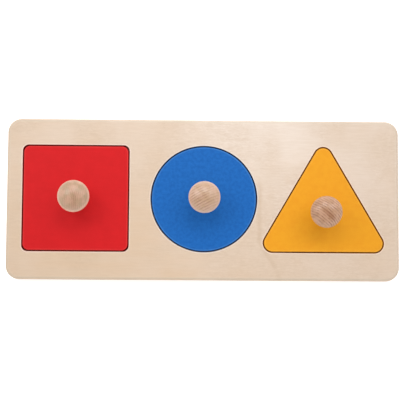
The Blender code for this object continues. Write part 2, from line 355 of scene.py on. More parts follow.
floor_material = bpy.data.materials.new("white_floor")
floor_material.use_nodes = True
floor_tree = floor_material.node_tree
floor_surface = floor_tree.nodes["Principled BSDF"]
for name, value in (("Base Color", grey(0.95)), ("Roughness", 0.9), ("Specular IOR Level", 0.1),
                    ("Emission Color", grey(1.0)), ("Emission Strength", FLOOR_GLOW)):
    floor_surface.inputs[name].default_value = value
seen_side = add_node("NewGeometry", tree=floor_tree)
open_below = add_node("BsdfTransparent", tree=floor_tree)
one_sided = add_node("MixShader", {
    0: seen_side.outputs["Backfacing"], 1: floor_surface.outputs[0], 2: open_below.outputs[0]})
link(one_sided.outputs[0], floor_tree.nodes["Material Output"].inputs["Surface"])
floor_mesh.materials.append(floor_material)
print("floor material:", floor_material.name)

# %% [markdown]
# ## Plates
#
# A plate is built ring by ring, from its lower face up its wall to its upper face, and then closed
# above and below with a flat, even web of triangles. Bevelling a plain slab would also round the
# edges, but rings allow something more: each point is told how near the edge it is. That number
# travels with the mesh as an attribute: 0 on a face, 1 on a wall, and one half on the line between
# them where the sanding block has passed. The materials use it later. A very small rounding gets
# fewer rings, so that its faces don't become slivers.

# %% Rings for eased edges
EASE_STEPS = 8
FINEST_STEP = 0.00005
SANDED = 0.0003
SHOULDER = 0.0009
WALL_VALUE = 1.0
ROUNDED_VALUE = 0.6
SANDED_VALUE = 0.5
FACE_VALUE = 0.0


def eased_wall(bottom, top, bottom_ease, top_ease, into):
    """Growth, height and edge value of each ring of a wall, from the lower face to the upper one.
    into is -1 where the material lies inside the outline, and 1 where it lies outside."""
    def eased_edge(face, ease, turn):
        rings = []
        steps = min(EASE_STEPS, round(ease / FINEST_STEP))
        for step in range(steps + 1):
            angle = math.pi / 2 * step / steps
            growth = into * ease * (1 - math.cos(angle))
            height = face - turn * ease * (1 - math.sin(angle))
            rings.append((growth, height, WALL_VALUE + (ROUNDED_VALUE - WALL_VALUE) * step / steps))
        rings.append((into * (ease + SANDED), face, SANDED_VALUE))
        rings.append((into * (ease + SHOULDER), face, FACE_VALUE))
        return rings
    return eased_edge(bottom, bottom_ease, -1)[::-1] + eased_edge(top, top_ease, 1)


# %% Build a plate from its rings
WEB_STEP = 0.0060
WEB_ROW = 0.866
WEB_MARGIN = 0.62
SHARP_ANGLE = math.radians(40)


def join_rings(work, rings, inward=False):
    """Fills the space between each ring of points and the next with four-sided faces."""
    for lower, upper in zip(rings, rings[1:]):
        for index in range(len(lower)):
            after = (index + 1) % len(lower)
            quad = [lower[index], lower[after], upper[after], upper[index]]
            work.faces.new(quad[::-1] if inward else quad)


def add_wall(work, edge_value, outline, rings, outer):
    """Adds one closed wall, and returns its lowest and highest ring of points."""
    loops = []
    for growth, height, value in rings:
        loop = [work.verts.new((point.x, point.y, height)) for point in outline(growth)]
        for vertex in loop:
            vertex[edge_value] = value
        loops.append(loop)
    join_rings(work, loops, inward=not outer)
    return loops[0], loops[-1]


def is_inside(place, rim, edges):
    """Whether a place lies in the face: an odd number of its edges lie straight to the right of it."""
    crossings = 0
    for first, second in edges:
        start, end = rim[first], rim[second]
        if (start.y > place.y) != (end.y > place.y):
            crossings += place.x < start.x + (place.y - start.y) * (end.x - start.x) / (end.y - start.y)
    return crossings % 2 == 1


def even_places(rim, edges):
    """Places in staggered rows that fill the face, and keep away from its rim."""
    low = Vector((min(point.x for point in rim), min(point.y for point in rim)))
    high = Vector((max(point.x for point in rim), max(point.y for point in rim)))
    places = []
    for row in range(1, int((high.y - low.y) / (WEB_STEP * WEB_ROW)) + 1):
        for column in range(int((high.x - low.x) / WEB_STEP) + 1):
            place = low + WEB_STEP * Vector((column + 0.5 * (row % 2), WEB_ROW * row))
            if not is_inside(place, rim, edges):
                continue
            if min((place - point).length for point in rim) > WEB_MARGIN * WEB_STEP:
                places.append(place)
    return places


def add_cap(work, loops, upward):
    """Closes the space between an outer loop and the loops inside it with a flat web of triangles."""
    rim_vertices = [vertex for loop in loops for vertex in loop]
    rim = [vertex.co.xy for vertex in rim_vertices]
    edges = []
    for loop in loops:
        first = len(edges)
        edges += [(first + index, first + (index + 1) % len(loop)) for index in range(len(loop))]
    places = even_places(rim, edges)
    points, _, triangles, sources, _, _ = delaunay_2d_cdt(rim + places, edges, [], 1, 1e-7)
    level = rim_vertices[0].co.z
    corners = rim_vertices + [work.verts.new((place.x, place.y, level)) for place in places]
    for triangle in triangles:
        middle = sum((points[index] for index in triangle), Vector((0.0, 0.0))) / 3
        if is_inside(middle, rim, edges):
            face = [corners[sources[index][0]] for index in triangle]
            work.faces.new(face if upward else face[::-1])


def make_plate(name, outer_wall, hole_walls):
    """A plate with one outer wall and any number of holes, each an outline with its rings."""
    work = bmesh.new()
    edge_value = work.verts.layers.float.new("edge_value")
    ends = [add_wall(work, edge_value, *outer_wall, True)]
    ends += [add_wall(work, edge_value, *wall, False) for wall in hole_walls]
    add_cap(work, [lowest for lowest, highest in ends], False)
    add_cap(work, [highest for lowest, highest in ends], True)
    return finish_mesh(name, work)


def finish_mesh(name, work):
    """Turns the working mesh into an object whose flat faces stay flat in the light."""
    mesh = bpy.data.meshes.new(name)
    work.to_mesh(mesh)
    work.free()
    mesh.shade_smooth()
    mesh.set_sharp_from_angle(angle=SHARP_ANGLE)
    piece = bpy.data.objects.new(name, mesh)
    bpy.context.scene.collection.objects.link(piece)
    flatten = piece.modifiers.new("flat_faces_lead", "WEIGHTED_NORMAL")
    flatten.weight = 100
    flatten.keep_sharp = True
    return piece


def settle(piece, body, slot, *nodes):
    """Hangs a finished piece on its body, in the place of the nodes that it stands for."""
    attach(piece, body)
    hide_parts(*nodes)
    print(piece.name, "has", len(piece.data.polygons), "faces and rides on", body)
    return piece


# %% [markdown]
# ## The board
#
# Two sheets of birch plywood are glued together: a thin closed one below, and above it a thick one
# with the three cut-outs. The thick sheet's upper rim is well rounded for small hands, while the
# cut-outs keep crisp edges that are only lightly sanded. A very small chamfer on both sheets leaves
# the fine glue line that can be felt all round the side of such a board.

# %% Make the two sheets
RIM_EASE = 0.0020
CUTOUT_EASE = 0.0003
JOINT_EASE = 0.00012

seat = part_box("board_base")[1].z
frame_wall = (board_outline, eased_wall(seat, board_high.z, JOINT_EASE, RIM_EASE, -1))
cutout_rings = [(SIDE_PLAY + growth, height, value) for growth, height, value
                in eased_wall(seat, board_high.z, JOINT_EASE, CUTOUT_EASE, 1)]
cutout_walls = [(outline, cutout_rings) for outline in (square_cutout, circle_outline, triangle_outline)]
top_sheet = make_plate("top_sheet", frame_wall, cutout_walls)
settle(top_sheet, "board", "birch_plywood", "board_frame")

base_sheet = make_plate("base_sheet", (board_outline, eased_wall(0.0, seat, RIM_EASE, JOINT_EASE, -1)), [])
settle(base_sheet, "board", "birch_plywood", "board_base")

# %% [markdown]
# ## The three shapes
#
# Each shape is sawn from the same sheet as the board's top, so it lies flush with it, and there is
# 0.7 mm of play all round. Both edges are eased. From below, a hole for the knob's screw is drilled
# and countersunk, so that the head lies deeper than the wood and scratches nothing. The hole is one
# more wall, whose rings follow the drill's own steps.

# %% Make the shapes
SHAPE_EASE = 0.0005
SHAPE_LIFT = 0.0001
HOLE_STEPS = 48
SCREW_SHAFT_HOLE = 0.00205
SCREW_MOUTH = 0.0038
SCREW_MOUTH_EASE = 0.0002
SCREW_MOUTH_WALL = 0.0003
SCREW_SINK = 0.0004
SCREW_HEAD_HEIGHT = 0.0021
SHAPES = {
    "square": ("red", square_outline),
    "circle": ("blue", circle_outline),
    "triangle": ("yellow", triangle_outline),
}


def turning_axis(node):
    """The upright line that a knob or a screw was turned round."""
    low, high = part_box(node)
    return ((low + high) / 2).xy


def countersunk_hole(centre, bottom, top):
    """The wall of a screw hole that is widened below for the screw's head."""
    rings = [
        (SCREW_MOUTH + SHOULDER, bottom, FACE_VALUE),
        (SCREW_MOUTH + SCREW_MOUTH_EASE, bottom, ROUNDED_VALUE),
        (SCREW_MOUTH, bottom + SCREW_MOUTH_EASE, WALL_VALUE),
        (SCREW_MOUTH, bottom + SCREW_SINK + SCREW_MOUTH_WALL, WALL_VALUE),
        (SCREW_SHAFT_HOLE, bottom + SCREW_SINK + SCREW_HEAD_HEIGHT, WALL_VALUE),
        (SCREW_SHAFT_HOLE, top, FACE_VALUE),
    ]
    return (round_outline(centre, 0.0, HOLE_STEPS), rings)


def make_shape(kind, tint, outline):
    """One loose shape, from just above the base to the level of the board."""
    node = kind + "_inset"
    low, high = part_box(node)
    wall = (outline, eased_wall(seat + SHAPE_LIFT, high.z, SHAPE_EASE, SHAPE_EASE, -1))
    hole = countersunk_hole(turning_axis(kind + "_knob"), low.z, high.z)
    shape = make_plate(tint + "_" + kind, wall, [hole])
    return settle(shape, kind + "_piece", tint + "_paint", node)


shapes = {kind: make_shape(kind, *look) for kind, look in SHAPES.items()}

# %% [markdown]
# ## The knobs
#
# The knobs are turned on a lathe from beech: a flat foot, a waist for the fingertips, and a broad
# domed head. A turned thing is one profile swept round its axis, so it is drawn as a curve from the
# middle of the dome down to the foot. Sweeping the rings by hand, like the plates, keeps the mesh
# even and leaves no seam.

# %% Sweep a profile
KNOB_STEPS = 96
ON_AXIS = 1e-7


def turned_mesh(profile, centre, steps):
    """Sweeps (radius, height) points round an upright axis. Points on the axis become one tip."""
    work = bmesh.new()
    loops = []
    for radius, height in profile:
        count = steps if radius > ON_AXIS else 1
        loop = []
        for step in range(count):
            angle = math.tau * step / count
            x, y = centre.x + radius * math.cos(angle), centre.y + radius * math.sin(angle)
            loop.append(work.verts.new((x, y, height)))
        loops.append(loop)
    for upper, lower in zip(loops, loops[1:]):
        for step in range(steps):
            after = (step + 1) % steps
            ring = [upper[step % len(upper)], lower[step % len(lower)]]
            ring += [lower[after % len(lower)], upper[after % len(upper)]]
            corners = [vertex for index, vertex in enumerate(ring) if vertex not in ring[:index]]
            if len(corners) > 2:
                work.faces.new(corners)
    return work


# %% Turn the three knobs
KNOB_RADIUS = 0.0120
WAIST_RADIUS = 0.0056
FOOT_RADIUS = 0.0074
FOOT_GAP = 0.0003
FOOT_EASE = 0.0008
FOOT_HEIGHT = 0.0072
FLARE_HEIGHT = 0.0108
DOME_HEIGHT = 0.0080
FLARE_PULL = 0.46
FOOT_PULL = 0.40
PILOT_RADIUS = 0.00205
PILOT_DEPTH = 0.0124
CURVE_POINTS = 22
FOOT_EASE_POINTS = 5
DRILL_POINT_ANGLE = math.radians(31)
widest_level = board_high.z + FOOT_GAP + FOOT_HEIGHT + FLARE_HEIGHT


def curve_down(upper, lower, pull):
    """A smooth stretch of profile that leaves one point and reaches the next one upright."""
    start, end = Vector(upper), Vector(lower)
    drop = Vector((0.0, pull * (start.y - end.y)))
    curve = interpolate_bezier(start, start - drop, end + drop, end, CURVE_POINTS)
    return [tuple(point) for point in curve[1:]]


def knob_profile(seat_height):
    """The knob's outline from the top of the dome to the end of the pilot hole in its foot."""
    foot_level = seat_height + FOOT_GAP
    profile = []
    for step in range(CURVE_POINTS + 1):
        angle = math.pi / 2 * step / CURVE_POINTS
        profile.append((KNOB_RADIUS * math.sin(angle), widest_level + DOME_HEIGHT * math.cos(angle)))
    profile += curve_down(profile[-1], (WAIST_RADIUS, foot_level + FOOT_HEIGHT), FLARE_PULL)
    profile += curve_down(profile[-1], (FOOT_RADIUS, foot_level + FOOT_EASE), FOOT_PULL)
    for step in range(1, FOOT_EASE_POINTS + 1):
        angle = math.pi / 2 * step / FOOT_EASE_POINTS
        drop = (foot_level + FOOT_EASE - seat_height) * math.sin(angle)
        radius = FOOT_RADIUS - FOOT_EASE * (1 - math.cos(angle))
        profile.append((radius, foot_level + FOOT_EASE - drop))
    profile += [(PILOT_RADIUS, seat_height), (PILOT_RADIUS, foot_level + PILOT_DEPTH)]
    profile.append((0.0, foot_level + PILOT_DEPTH + PILOT_RADIUS * math.tan(DRILL_POINT_ANGLE)))
    return profile


def make_knob(kind):
    """One knob, its foot pressed against the shape that it is screwed to."""
    node = kind + "_knob"
    mesh = turned_mesh(knob_profile(board_high.z), turning_axis(node), KNOB_STEPS)
    return settle(finish_mesh(kind + "_handle", mesh), kind + "_piece", "turned_beech", node)


knobs = {kind: make_knob(kind) for kind in SHAPES}

# %% [markdown]
# ## The screws
#
# Turn a shape over and its screw shows: a zinc-plated countersunk head with a cross for the driver.
# The thread is hidden in the wood, but a screw without one would look bare where a shape is seen in
# pieces, so the shaft gets a real helix. The cross is cut with a Boolean, because it is the one form
# here that is neither a plate nor turned.

# %% Make the screws
SCREW_STEPS = 48
SCREW_HEAD_RADIUS = 0.0035
SCREW_LENGTH = 0.0200
SHANK_LENGTH = 0.0080
POINT_LENGTH = 0.0030
CREST_RADIUS = 0.00175
CORE_RADIUS = 0.00130
THREAD_PITCH = 0.0013
THREAD_HALF_WIDTH = 0.0003
THREAD_ROOT = 0.90 * CORE_RADIUS
THREAD_START = 0.92 * CORE_RADIUS
CROSS_LENGTH = 0.0036
CROSS_WIDTH = 0.0009
CROSS_DEPTH = 0.0013
# Height in the head, share of the cross's length and share of its width, from the mouth inwards
CROSS_RINGS = ((-0.0008, 1.0, 1.0), (0.0002, 1.0, 1.0), (CROSS_DEPTH, 0.45, 0.7))
SCREW_WELD = 0.000002
SCREW_SHARP_ANGLE = math.radians(35)
SCREW_BODIES = {"square": "square_piece", "circle": "circle_carrier", "triangle": "triangle_piece"}
# Radius and height above the face of the head, from the tip of the point to the middle of the head
SCREW_PROFILE = (
    (0.0, SCREW_LENGTH), (CORE_RADIUS * 0.45, SCREW_LENGTH - POINT_LENGTH * 0.45),
    (CORE_RADIUS, SCREW_LENGTH - POINT_LENGTH), (CORE_RADIUS, SHANK_LENGTH),
    (CREST_RADIUS, SHANK_LENGTH - 0.0004), (CREST_RADIUS, SCREW_HEAD_HEIGHT + 0.0003),
    (CREST_RADIUS + 0.00012, SCREW_HEAD_HEIGHT), (SCREW_HEAD_RADIUS - 0.00008, 0.00034),
    (SCREW_HEAD_RADIUS, 0.00024), (SCREW_HEAD_RADIUS, 0.00008), (SCREW_HEAD_RADIUS - 0.0001, 0.0),
    (SCREW_HEAD_RADIUS * 0.7, 0.0), (0.0, 0.0),
)


def add_thread(work, centre, head_face):
    """Winds a ridge with a sharp crest round the core, fading out at both ends."""
    length = SCREW_LENGTH - POINT_LENGTH * 0.6 - SHANK_LENGTH
    count = round(length / THREAD_PITCH * SCREW_STEPS / 2)
    sections = []
    for step in range(count + 1):
        part = step / count
        angle = math.tau * part * length / THREAD_PITCH
        height = head_face + SHANK_LENGTH + part * length
        taper = min(1.0, 8 * part, 5 * (1 - part))
        crest = THREAD_START + (CREST_RADIUS - THREAD_START) * taper
        places = ((THREAD_ROOT, -THREAD_HALF_WIDTH), (crest, 0.0), (THREAD_ROOT, THREAD_HALF_WIDTH))
        section = []
        for radius, rise in places:
            x, y = centre.x + radius * math.cos(angle), centre.y + radius * math.sin(angle)
            section.append(work.verts.new((x, y, height + rise)))
        sections.append(section)
    for lower, upper in zip(sections, sections[1:]):
        for index in range(3):
            after = (index + 1) % 3
            work.faces.new([lower[index], upper[index], upper[after], lower[after]])
    work.faces.new(sections[0])
    work.faces.new(sections[-1][::-1])


# %% Cut the cross and set the screws
def cross_cutter(centre, head_face):
    """Two crossed bars with sloping ends, the shape that a driver's tip leaves free."""
    work = bmesh.new()
    for turn in (0.0, math.pi / 2):
        along = Vector((math.cos(turn), math.sin(turn), 0.0))
        across = Vector((-along.y, along.x, 0.0))
        middle = Vector((centre.x, centre.y, head_face))
        rings = []
        for rise, length_share, width_share in CROSS_RINGS:
            reach = along * CROSS_LENGTH / 2 * length_share
            side = across * CROSS_WIDTH / 2 * width_share
            level = Vector((0.0, 0.0, rise))
            corners = (reach + side, side - reach, -reach - side, reach - side)
            rings.append([work.verts.new(middle + level + corner) for corner in corners])
        join_rings(work, rings)
        work.faces.new(rings[0][::-1])
        work.faces.new(rings[-1])
    mesh = bpy.data.meshes.new("cross_cutter")
    work.to_mesh(mesh)
    work.free()
    return bpy.data.objects.new("cross_cutter", mesh)


def apply_modifiers(piece):
    """Replaces the piece's mesh by the one that its modifiers make."""
    bpy.context.view_layer.update()
    result = piece.evaluated_get(bpy.context.evaluated_depsgraph_get())
    mesh = bpy.data.meshes.new_from_object(result)
    piece.modifiers.clear()
    piece.data = mesh


def make_screw(kind, body):
    """One screw with its point up and its head sunk in the shape's underside."""
    node = kind + "_knob_screw"
    head_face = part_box(node)[0].z
    centre = turning_axis(node)
    profile = [(radius, head_face + height) for radius, height in SCREW_PROFILE]
    screw = finish_mesh(kind + "_screw", turned_mesh(profile, centre, SCREW_STEPS))
    screw.modifiers.clear()
    cutter = cross_cutter(centre, head_face)
    bpy.context.scene.collection.objects.link(cutter)
    cut = screw.modifiers.new("cross", "BOOLEAN")
    cut.operation = "DIFFERENCE"
    cut.solver = "EXACT"
    cut.use_self = True
    cut.object = cutter
    apply_modifiers(screw)
    bpy.data.objects.remove(cutter)
    work = bmesh.new()
    work.from_mesh(screw.data)
    bmesh.ops.remove_doubles(work, verts=work.verts, dist=SCREW_WELD)
    add_thread(work, centre, head_face)
    bmesh.ops.recalc_face_normals(work, faces=work.faces)
    work.to_mesh(screw.data)
    work.free()
    screw.data.shade_smooth()
    screw.data.set_sharp_from_angle(angle=SCREW_SHARP_ANGLE)
    return settle(screw, body, "zinc_plated_steel", node)


screws = {kind: make_screw(kind, body) for kind, body in SCREW_BODIES.items()}

# %% [markdown]
# ## Shared effects
#
# Six effects have a node group of their own. Grain is noise that is pulled out along one direction.
# Pores are short dark dashes. Growth rings are circles round a pith that lies outside the small block
# that a knob is turned from. Ply layers colour the sawn edge of a plywood sheet. Edge zones take the
# number that was stored along every eased edge and tell three zones by it: the line that the sanding
# block left, the rounding beside it, and the wall. The first two are broken up, so that no edge looks
# ruled. The materials paint real wear and stains with these zones, and also a painted highlight on the
# line and painted shade on the rounding and the wall. The sweep is one darker line of figure in the
# board's top veneer.

# %% Grain
def build_grain():
    """Streaks and broad tone of a wood surface, pulled out along X, Y or Z by the Stretch vector."""
    inputs = {"Vector": (0.0, 0.0, 0.0), "Stretch": (1.0, 1.0, 1.0), "Fineness": 1.0, "Wander": 0.3}
    tree, given, result = new_group("wood_grain", inputs, ("Streaks", "Tone"))
    place = vectors("MULTIPLY", given["Vector"], given["Stretch"])
    fine = noise(place, given["Fineness"], 7.0, 0.62, given["Wander"])
    broad = noise(place, times(given["Fineness"], 0.11), 3.0)
    link(between(fine, 0.30, 0.70), result["Streaks"])
    link(between(broad, 0.30, 0.70), result["Tone"])
    return tree


# %% Pores and flecks
def build_pores():
    """Short dark dashes. Stretch sets their length and width, Share how many cells hold one."""
    inputs = {"Vector": (0.0, 0.0, 0.0), "Stretch": (1.0, 1.0, 1.0), "Share": 0.3}
    tree, given, result = new_group("pores", inputs, ("Pores",))
    place = vectors("MULTIPLY", given["Vector"], given["Stretch"])
    cells = add_node("TexVoronoi", {"Vector": place, "Scale": 1.0, "Randomness": 1.0})
    dash = between(cells.outputs["Distance"], 0.34, 0.10)
    chance = add_node("SeparateColor", {0: cells.outputs["Color"]})
    kept = sums("LESS_THAN", chance.outputs[0], given["Share"])
    link(times(dash, kept), result["Pores"])
    return tree


# %% Growth rings
def build_rings():
    """Rings round an upright pith: fine dark lines, bands of different tone, and rays across them."""
    inputs = {"Vector": (0.0, 0.0, 0.0), "Pith": (0.0, 0.0, 0.0), "Ring Width": 0.0012, "Wander": 0.0004}
    inputs["Dark Ring"] = 0.03
    tree, given, result = new_group("growth_rings", inputs, ("Lines", "Bands", "Streak", "Rays"))
    drawn_out = vectors("MULTIPLY", given["Vector"], (1.0, 1.0, 0.06))
    drift = sums("SUBTRACT", noise(drawn_out, 130.0, 3.0), 0.5)
    from_pith = vectors("SUBTRACT", given["Vector"], given["Pith"])
    reach = vectors("LENGTH", vectors("MULTIPLY", from_pith, (1.0, 1.0, 0.0)))
    radius = sums("MULTIPLY_ADD", drift, given["Wander"], reach)
    rings = sums("DIVIDE", radius, given["Ring Width"])
    phase = sums("FRACT", rings)
    line = times(between(phase, 0.38, 0.82), between(phase, 1.0, 0.86))
    broken = between(noise(drawn_out, 330.0), 0.34, 0.60, 0.25, 1.0)
    link(times(line, broken), result["Lines"])
    bands = add_node("TexNoise", {
        "W": times(rings, 0.35), "Scale": 1.0, "Detail": 2.0}, noise_dimensions="1D")
    link(between(bands.outputs[0], 0.30, 0.70), result["Bands"])
    off_streak = sums("ABSOLUTE", sums("SUBTRACT", radius, given["Dark Ring"]))
    link(between(off_streak, 0.0030, 0.0), result["Streak"])
    parts = add_node("SeparateXYZ", {0: from_pith}).outputs
    bearing = sums("ARCTAN2", parts[1], parts[0])
    ray_place = add_node("CombineXYZ", {
        0: times(bearing, 70.0), 1: times(reach, 260.0)}).outputs[0]
    link(between(noise(ray_place, 1.0), 0.58, 0.74), result["Rays"])
    return tree


# %% Ply layers
def build_layers():
    """Which veneer of a plywood sheet a point is on, told from its height and the wall's direction."""
    inputs = {"Vector": (0.0, 0.0, 0.0), "Normal": (0.0, 0.0, 1.0), "Lowest": 0.0, "Veneer": 0.0013}
    tree, given, result = new_group("ply_layers", inputs, ("End Grain", "Glue Line", "Veneer Tone"))
    place = add_node("SeparateXYZ", {0: given["Vector"]}).outputs
    facing = add_node("SeparateXYZ", {0: given["Normal"]}).outputs
    sway = times(sums("SUBTRACT", noise(given["Vector"], 60.0), 0.5), 0.0002)
    height = sums("ADD", sums("SUBTRACT", place[2], given["Lowest"]), sway)
    level = sums("DIVIDE", height, given["Veneer"])
    number = sums("FLOOR", level)
    crosswise = sums("MODULO", sums("ABSOLUTE", number), 2.0)
    end_x = sums("POWER", sums("ABSOLUTE", facing[0]), 2.0)
    end_y = sums("POWER", sums("ABSOLUTE", facing[1]), 2.0)
    lengthwise_end = times(end_x, sums("SUBTRACT", 1.0, crosswise))
    crosswise_end = times(end_y, crosswise)
    link(sums("ADD", lengthwise_end, crosswise_end), result["End Grain"])
    from_middle = sums("ABSOLUTE", sums("SUBTRACT", sums("FRACT", level), 0.5))
    upright = between(sums("ABSOLUTE", facing[2]), 0.7, 0.4)
    glue = between(from_middle, 0.44, 0.49)
    link(times(glue, upright), result["Glue Line"])
    tone = add_node("TexWhiteNoise", {"W": number}, noise_dimensions="1D")
    link(times(tone.outputs["Value"], upright), result["Veneer Tone"])
    return tree


# %% Edge zones
def build_edge_zones():
    """Splits the stored edge value into the sanded line, the rounding beside it and the wall."""
    inputs = {"Vector": (0.0, 0.0, 0.0), "Edge Value": 0.0, "Patchiness": 90.0}
    tree, given, result = new_group("edge_zones", inputs, ("Sanded Line And Highlight", "Rounding", "Wall"))
    edge = given["Edge Value"]
    share = between(noise(given["Vector"], given["Patchiness"]), 0.25, 0.75, 0.55, 1.0)
    line = times(between(edge, 0.0, 0.5), between(edge, 0.8, 0.55))
    link(times(line, share), result["Sanded Line And Highlight"])
    rounding = times(between(edge, 0.48, 0.62), between(edge, 0.98, 0.80))
    link(times(rounding, share), result["Rounding"])
    link(between(edge, 0.74, 0.97), result["Wall"])
    return tree


# %% The sweep
def build_sweep():
    """One darker sweep of figure in the veneer, as if a knot had lain above it."""
    tree, given, result = new_group("veneer_sweep", {"Vector": (0.0, 0.0, 0.0)}, ("Sweep",))
    ripple = noise(given["Vector"], 70.0, 3.0)
    along, across, _ = add_node("SeparateXYZ", {0: given["Vector"]}).outputs
    bend = between(across, -0.028, -0.060, 0.0425, 0.0575)
    bend = sums("MULTIPLY_ADD", ripple, 0.006, bend)
    off = sums("ABSOLUTE", sums("SUBTRACT", along, sums("SUBTRACT", bend, 0.003)))
    line = between(off, 0.0030, 0.0004)
    share = times(between(across, 0.022, 0.004), between(ripple, 0.30, 0.55))
    link(times(line, share), result["Sweep"])
    return tree


grain_group = build_grain()
pores_group = build_pores()
rings_group = build_rings()
layers_group = build_layers()
edge_zones_group = build_edge_zones()
sweep_group = build_sweep()
print("node groups:", [group.name for group in bpy.data.node_groups])


# %% Start a material
def new_material(name, coat, coat_roughness):
    """A material with one Principled surface, and the place that its patterns hang on."""
    material = bpy.data.materials.new(name)
    material.use_nodes = True
    surface = material.node_tree.nodes["Principled BSDF"]
    surface.inputs["Coat Weight"].default_value = coat
    surface.inputs["Coat Roughness"].default_value = coat_roughness
    place = add_node("TexCoord", tree=material.node_tree).outputs["Object"]
    return material, surface, place


def plate_effects(place, lowest, veneer):
    """The layers and the edge zones of a plate whose veneers start at this height."""
    tree = place.id_data
    normal = add_node("TexCoord", tree=tree).outputs["Normal"]
    edge = add_node("Attribute", tree=tree, attribute_name="edge_value").outputs["Fac"]
    layers = use_group(layers_group, {
        "Vector": place, "Normal": normal, "Lowest": lowest, "Veneer": veneer})
    return layers, use_group(edge_zones_group, {"Vector": place, "Edge Value": edge})


def finish_surface(surface, tint, roughness, relief, depth):
    """Gives a surface its colour and roughness, and presses a pattern into it. depth is the real
    difference in height, in metres."""
    bump = add_node("Bump", {"Distance": depth, "Height": relief}).outputs[0]
    for name, source in (("Base Color", tint), ("Roughness", roughness), ("Normal", bump)):
        link(source, surface.inputs[name])


# %% [markdown]
# ## Birch plywood
#
# Birch veneer is peeled from the log like paper from a roll, so its figure is broad and faint: long
# soft streaks along the board, small silky flecks, a silvery patch, and here and there a darker
# sweep. Seen from the side the sheet is a stack of veneers whose grain turns by a quarter from one to
# the next, so pale smooth bands alternate with darker, rougher end grain, with a thin line of glue
# between them. On the short sides of the board the two kinds change places. The outer rim's rounding
# is painted a little greyer, as painted shade. The walls and lips of the cut-outs are stained: each
# shape has left some of its own paint there. The base sheet is cut from another place in the log.

# %% Birch plywood
BIRCH = colour(219, 200, 180)
BIRCH_PALE = colour(226, 207, 190)
BIRCH_WARM = colour(217, 189, 160)
BIRCH_DARK = colour(196, 168, 138)
BIRCH_SANDED_HIGHLIGHT = colour(246, 236, 224)
BIRCH_RIM_SHADE = colour(204, 188, 168)
BIRCH_SILVER = colour(238, 224, 212)
RUBBED_RED = colour(190, 24, 14)
RUBBED_BLUE = colour(24, 74, 138)
RUBBED_YELLOW = colour(206, 124, 8)
END_GRAIN = colour(176, 140, 102)
GLUE_BROWN = colour(120, 88, 60)
SILVER_PLACE = (0.040, 0.045, 0.012)
# How wide the board's own rim is, and where along the board one shape's paint gives way to the next
RIM_ZONE = 0.0065
RED_TO_BLUE = (-0.050, -0.048)
BLUE_TO_YELLOW = (0.0425, 0.0445)


def birch_material(name, lowest, veneer, cut_from, sweep_share):
    """Birch plywood whose veneers start at this height and are this thick. cut_from is the place in
    the log's figure that the sheet was cut from."""
    material, surface, place = new_material(name, 0.10, 0.35)
    layers, edge_wear_and_light = plate_effects(place, lowest, veneer)
    figure = vectors("ADD", place, cut_from)
    grain = use_group(grain_group, {
        "Vector": figure, "Stretch": (1.0, 9.0, 9.0), "Fineness": 95.0, "Wander": 0.4})
    curls = use_group(grain_group, {
        "Vector": figure, "Stretch": (1.0, 2.6, 1.0), "Fineness": 210.0, "Wander": 1.2})
    flecks = use_group(pores_group, {
        "Vector": figure, "Stretch": (420.0, 1500.0, 1500.0), "Share": 0.30})
    sweep = use_group(sweep_group, {"Vector": place})
    cloud = noise(figure, 14.0, 4.0, 0.60)
    along, across, _ = add_node("SeparateXYZ", {0: place}).outputs
    # The face is warmer at the left end and paler to the right. It is also painted paler towards the far
    # edge: painted light, as from the lamps behind.
    tone = sums("MULTIPLY_ADD", along, 2.2, between(cloud, 0.30, 0.70, 0.25, 0.75))
    tone = sums("MULTIPLY_ADD", across, 3.6, tone)
    off_patch = vectors("DISTANCE", place, SILVER_PLACE)
    silver = times(between(off_patch, 0.080, 0.018, 0.0, 0.72),
                   between(cloud, 0.25, 0.65, 0.55, 1.0))
    curly = between(noise(figure, 22.0), 0.40, 0.62)
    face = layered(blend_colours(tone, BIRCH_WARM, BIRCH_PALE), (
        (silver, BIRCH_SILVER),
        (times(grain["Tone"], 0.30), BIRCH),
        (times(grain["Streaks"], 0.17), BIRCH_DARK),
        (times(times(curls["Streaks"], curly), 0.32), BIRCH_DARK),
        (times(sweep["Sweep"], sweep_share), BIRCH_DARK),
        (times(flecks["Pores"], 0.14), BIRCH_DARK)))

    in_length = sums("LESS_THAN", sums("ABSOLUTE", along), board_high.x - RIM_ZONE)
    in_width = sums("LESS_THAN", sums("ABSOLUTE", across), board_high.y - RIM_ZONE)
    inside = times(in_length, in_width)
    rubbed = blend_colours(between(along, *RED_TO_BLUE), RUBBED_RED, RUBBED_BLUE)
    rubbed = blend_colours(between(along, *BLUE_TO_YELLOW), rubbed, RUBBED_YELLOW)
    lip_share = between(along, *BLUE_TO_YELLOW, 0.40, 0.65)
    rubbed_share = sums("MULTIPLY_ADD", edge_wear_and_light["Rounding"], lip_share, edge_wear_and_light["Wall"])
    tint = layered(face, (
        (times(layers["End Grain"], 0.75), END_GRAIN),
        (times(layers["Veneer Tone"], 0.18), BIRCH_DARK),
        (times(layers["Glue Line"], 0.75), GLUE_BROWN),
        # The sanded line on the lips and rim is painted paler: sanding, and partly a painted highlight.
        (times(edge_wear_and_light["Sanded Line And Highlight"], between(inside, 0.0, 1.0, 0.10, 0.65)), BIRCH_SANDED_HIGHLIGHT),
        # The outer rim's rounding is painted greyer: painted shade.
        (times(edge_wear_and_light["Rounding"], between(inside, 0.0, 1.0, 0.50, 0.0)), BIRCH_RIM_SHADE),
        (sums("MINIMUM", times(rubbed_share, inside), 0.95), rubbed)))
    relief = sums("MULTIPLY_ADD", layers["Glue Line"], -1.4, grain["Streaks"])
    relief = sums("MULTIPLY_ADD", flecks["Pores"], -0.5, relief)
    finish_surface(surface, tint, between(grain["Streaks"], 0.0, 1.0, 0.46, 0.60), relief, 0.00003)
    return material


